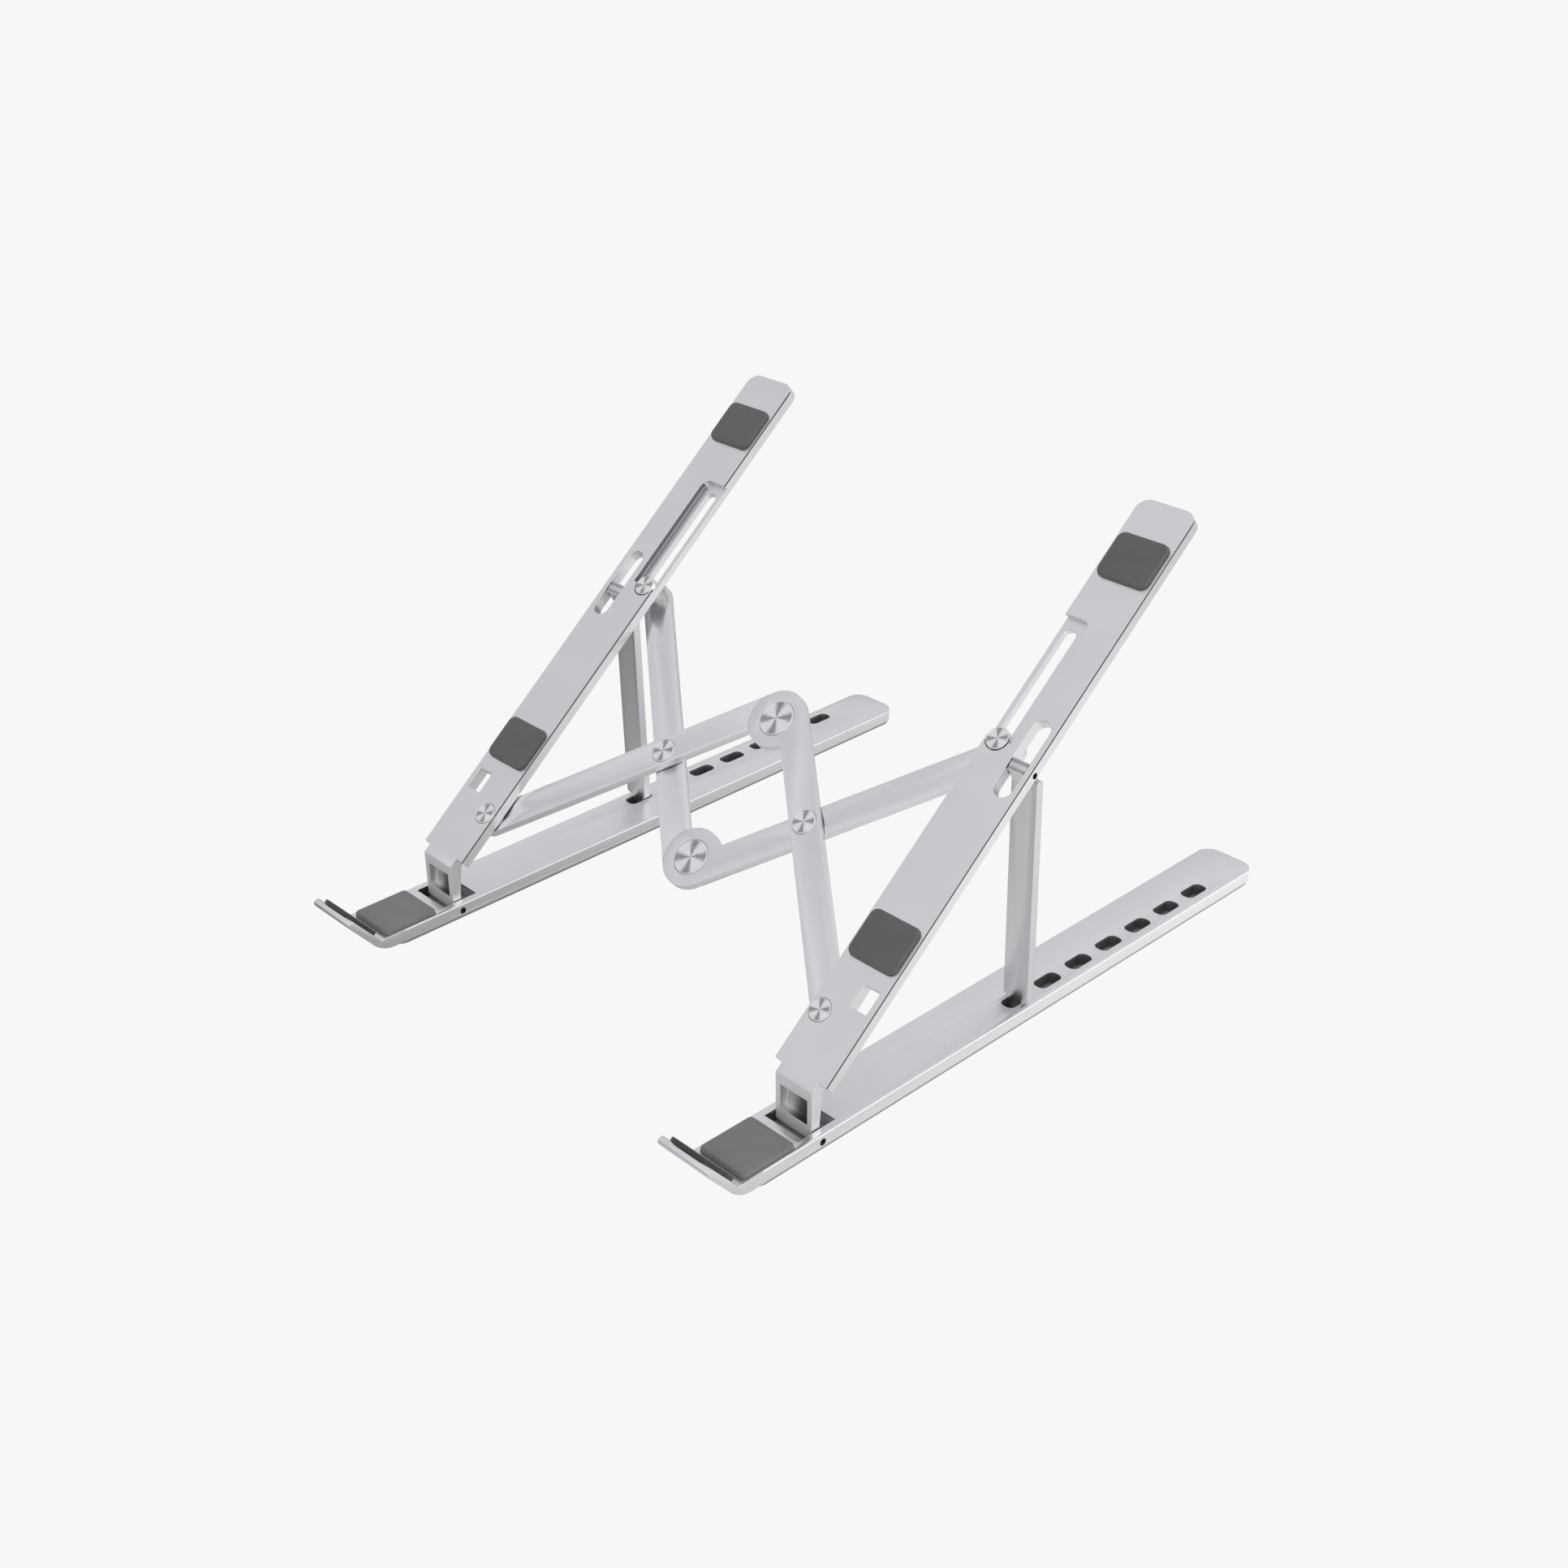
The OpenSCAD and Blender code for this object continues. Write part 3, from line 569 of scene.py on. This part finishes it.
for word, side in SIDES:
    base = f"base_{word}"
    arm_body = f"arm_assembly_{word}"
    mirror = Matrix.Scale(side, 4, (1, 0, 0))
    rail_frame = Matrix.Translation((side * hinge.x, hinge.y, 0)) @ mirror
    arm_frame = arm_matrix(side) @ mirror
    softened(f"base_rail_{word}", f"base_rail_{word}_finish", base, alloy_rail, RAIL_EDGE,
             darks=[slot_shade_alloy, pin_hole_shade, rail_side_shade_alloy], matrix=rail_frame, boxes=RAIL_BOXES)
    arm = softened(f"arm_{word}", f"arm_{word}_finish", arm_body, alloy_arm, ARM_EDGE, segments=1,
                   darks=[alloy_shadow, pocket[word], pin_hole_shade, nose_front_lit_alloy],
                   matrix=arm_frame, boxes=ARM_BORE_BOXES)
    shade_faces(arm.data, arm_frame, ARM_SHADE_BOXES, whole=True)
    shade_faces(arm.data, rail_frame, NOSE_BOXES)
    softened(f"prop_{word}", f"prop_{word}_finish", f"prop_assembly_{word}", alloy_prop, PROP_EDGE)
    for kind in ("upper", "lower"):
        softened(f"link_{kind}_{word}", f"link_{kind}_{word}_finish", f"{kind}_link_{word}",
                 alloy_link, LINK_EDGE)
    softened(f"antislip_strip_{word}", f"antislip_strip_{word}_finish", base,
             rubber_strip, STRIP_EDGE)
    softened(f"hook_liner_{word}", f"hook_liner_{word}_finish", base,
             rubber_dark, LINER_EDGE, segments=3)

    for kind in ("upper", "lower"):
        node = f"{kind}_pad_{word}"
        matrix = arm_matrix(side)
        lowest, highest = local_box(node, matrix)
        centre = (lowest + highest) / 2
        place = matrix @ Matrix.Translation((centre.x, centre.y, lowest.z))
        size = highest - lowest
        obj = soft_pad(f"{node}_soft", size.x, size.y, ARM_PAD_RADIUS, size.z - PAD_CROWN,
                       ARM_PAD_EDGE, PAD_CROWN, place, [rubber_arm])
        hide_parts(node)
        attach(obj, f"arm_assembly_{word}")

    node = f"ledge_pad_{word}"
    lowest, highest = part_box(node)
    centre = (lowest + highest) / 2
    size = highest - lowest
    place = Matrix.Translation((centre.x, centre.y, lowest.z))
    obj = soft_pad(f"{node}_soft", size.x, size.y, LEDGE_PAD_RADIUS, size.z - PAD_CROWN,
                   LEDGE_PAD_EDGE, PAD_CROWN, place, [rubber_ledge])
    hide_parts(node)
    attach(obj, f"base_{word}")

    rivet_bodies = {"pivot": arm_body, "slider": f"lower_link_{word}", "middle": f"upper_link_{word}"}
    for kind, rides in rivet_bodies.items():
        node = f"{kind}_rivet_{word}"
        turned_rivet(node, f"{node}_turned", rides, HEAD[kind], RIVET_DISH)
    # The pins take the same near-black as the painted shade in their bores, so that their ends read as the
    # dark of the pin holes.
    for kind in ("hinge_pin", "prop_pin"):
        recolour(f"{kind}_{word}", pin_hole_shade)
    for kind in ("pivot_washer", "middle_washer", "slider_spacer"):
        recolour(f"{kind}_{word}", steel)

for kind, rides in (("rear", "upper_link_right"), ("front", "lower_link_right")):
    node = f"elbow_rivet_{kind}"
    turned_rivet(node, f"{node}_turned", rides, HEAD[f"elbow_{kind}"], ELBOW_DISH)

# ---------------------------------------------------------------- floor and light
# The camera sees a flat pale floor. The light that the floor gives the object is graded instead: weaker
# at the front left, and weaker again behind the object.
FLOOR_HALF = 8.0
FLOOR_DROP = 0.0002
FLOOR_SEEN = (0.93, 0.93, 0.93, 1)
FLOOR_GRADE_ALONG = (0.75, 0.66, 0)
STUDIO_BRIGHT_SIDE = (0.92, -0.20, 0.33)


def add_fade(nodes, links, source, span, ends):
    """A smooth step between two values over a span."""
    fade = nodes.new("ShaderNodeMapRange")
    fade.interpolation_type = "SMOOTHSTEP"
    fade.inputs["From Min"].default_value = span[0]
    fade.inputs["From Max"].default_value = span[1]
    fade.inputs["To Min"].default_value = ends[0]
    fade.inputs["To Max"].default_value = ends[1]
    links.new(source, fade.inputs["Value"])
    return fade.outputs["Result"]


floor_mesh = bpy.data.meshes.new("floor")
bm = bmesh.new()
bmesh.ops.create_grid(bm, x_segments=1, y_segments=1, size=FLOOR_HALF)
bm.to_mesh(floor_mesh)
bm.free()
floor_mat = bpy.data.materials.new("floor_pale")
floor_mat.use_nodes = True
nodes = floor_mat.node_tree.nodes
links = floor_mat.node_tree.links
nodes.remove(nodes["Principled BSDF"])
seen = nodes.new("ShaderNodeEmission")
seen.inputs["Color"].default_value = FLOOR_SEEN
seen.inputs["Strength"].default_value = 1.0
cast = nodes.new("ShaderNodeEmission")
place = nodes.new("ShaderNodeTexCoord")
tilt = nodes.new("ShaderNodeVectorMath")
tilt.operation = "DOT_PRODUCT"
tilt.inputs[1].default_value = FLOOR_GRADE_ALONG
links.new(place.outputs["Object"], tilt.inputs[0])
reach = add_fade(nodes, links, tilt.outputs["Value"], span=(-0.27, 0.20), ends=(0.20, 0.9))
apart = nodes.new("ShaderNodeSeparateXYZ")
links.new(place.outputs["Object"], apart.inputs[0])
rear = add_fade(nodes, links, apart.outputs["Y"], span=(0.16, 0.34), ends=(1.0, 0.68))
links.new(add_math(nodes, links, "MULTIPLY", reach, rear), cast.inputs["Strength"])
path = nodes.new("ShaderNodeLightPath")
pick = nodes.new("ShaderNodeMixShader")
links.new(path.outputs["Is Camera Ray"], pick.inputs["Fac"])
links.new(cast.outputs["Emission"], pick.inputs[1])
links.new(seen.outputs["Emission"], pick.inputs[2])
links.new(pick.outputs["Shader"], nodes["Material Output"].inputs["Surface"])
floor = link_object("floor", floor_mesh, [floor_mat])
floor.location = (0, 0, -FLOOR_DROP)

# A soft studio: bright on the right and above, greyer on the left, with one large light at the right rear.
scene.view_settings.view_transform = "Standard"
world = bpy.data.worlds.new("studio")
scene.world = world
world.use_nodes = True
world_nodes = world.node_tree.nodes
world_links = world.node_tree.links
direction = world_nodes.new("ShaderNodeTexCoord")
axis = world_nodes.new("ShaderNodeVectorMath")
axis.operation = "DOT_PRODUCT"
axis.inputs[1].default_value = STUDIO_BRIGHT_SIDE
world_links.new(direction.outputs["Generated"], axis.inputs[0])
sweep = world_nodes.new("ShaderNodeMapRange")
sweep.inputs["From Min"].default_value = -0.75
sweep.inputs["From Max"].default_value = 0.75
world_links.new(axis.outputs["Value"], sweep.inputs["Value"])
sky_stops = [(0.0, (0.60, 0.605, 0.63)), (0.45, (0.68, 0.685, 0.70)), (1.0, (1.0, 1.0, 1.0))]
sky = add_ramp(world_nodes, world_links, sweep.outputs["Result"], sky_stops)
world_links.new(sky, world_nodes["Background"].inputs["Color"])
world_nodes["Background"].inputs["Strength"].default_value = 1.0


def soft_light(name, place, aim, size, watts):
    """A rectangular area light at a place, turned to its aim."""
    data = bpy.data.lights.new(name, "AREA")
    data.shape = "RECTANGLE"
    data.size = size[0]
    data.size_y = size[1]
    data.energy = watts
    obj = bpy.data.objects.new(name, data)
    scene.collection.objects.link(obj)
    obj.location = place
    obj.rotation_euler = (Vector(aim) - Vector(place)).to_track_quat("-Z", "Y").to_euler()


soft_light("side_box", place=(1.3, 0.9, 0.35), aim=(0, 0, 0.05), size=(1.2, 0.7), watts=2.0)

# ---------------------------------------------------------------- end
bpy.context.view_layer.update()
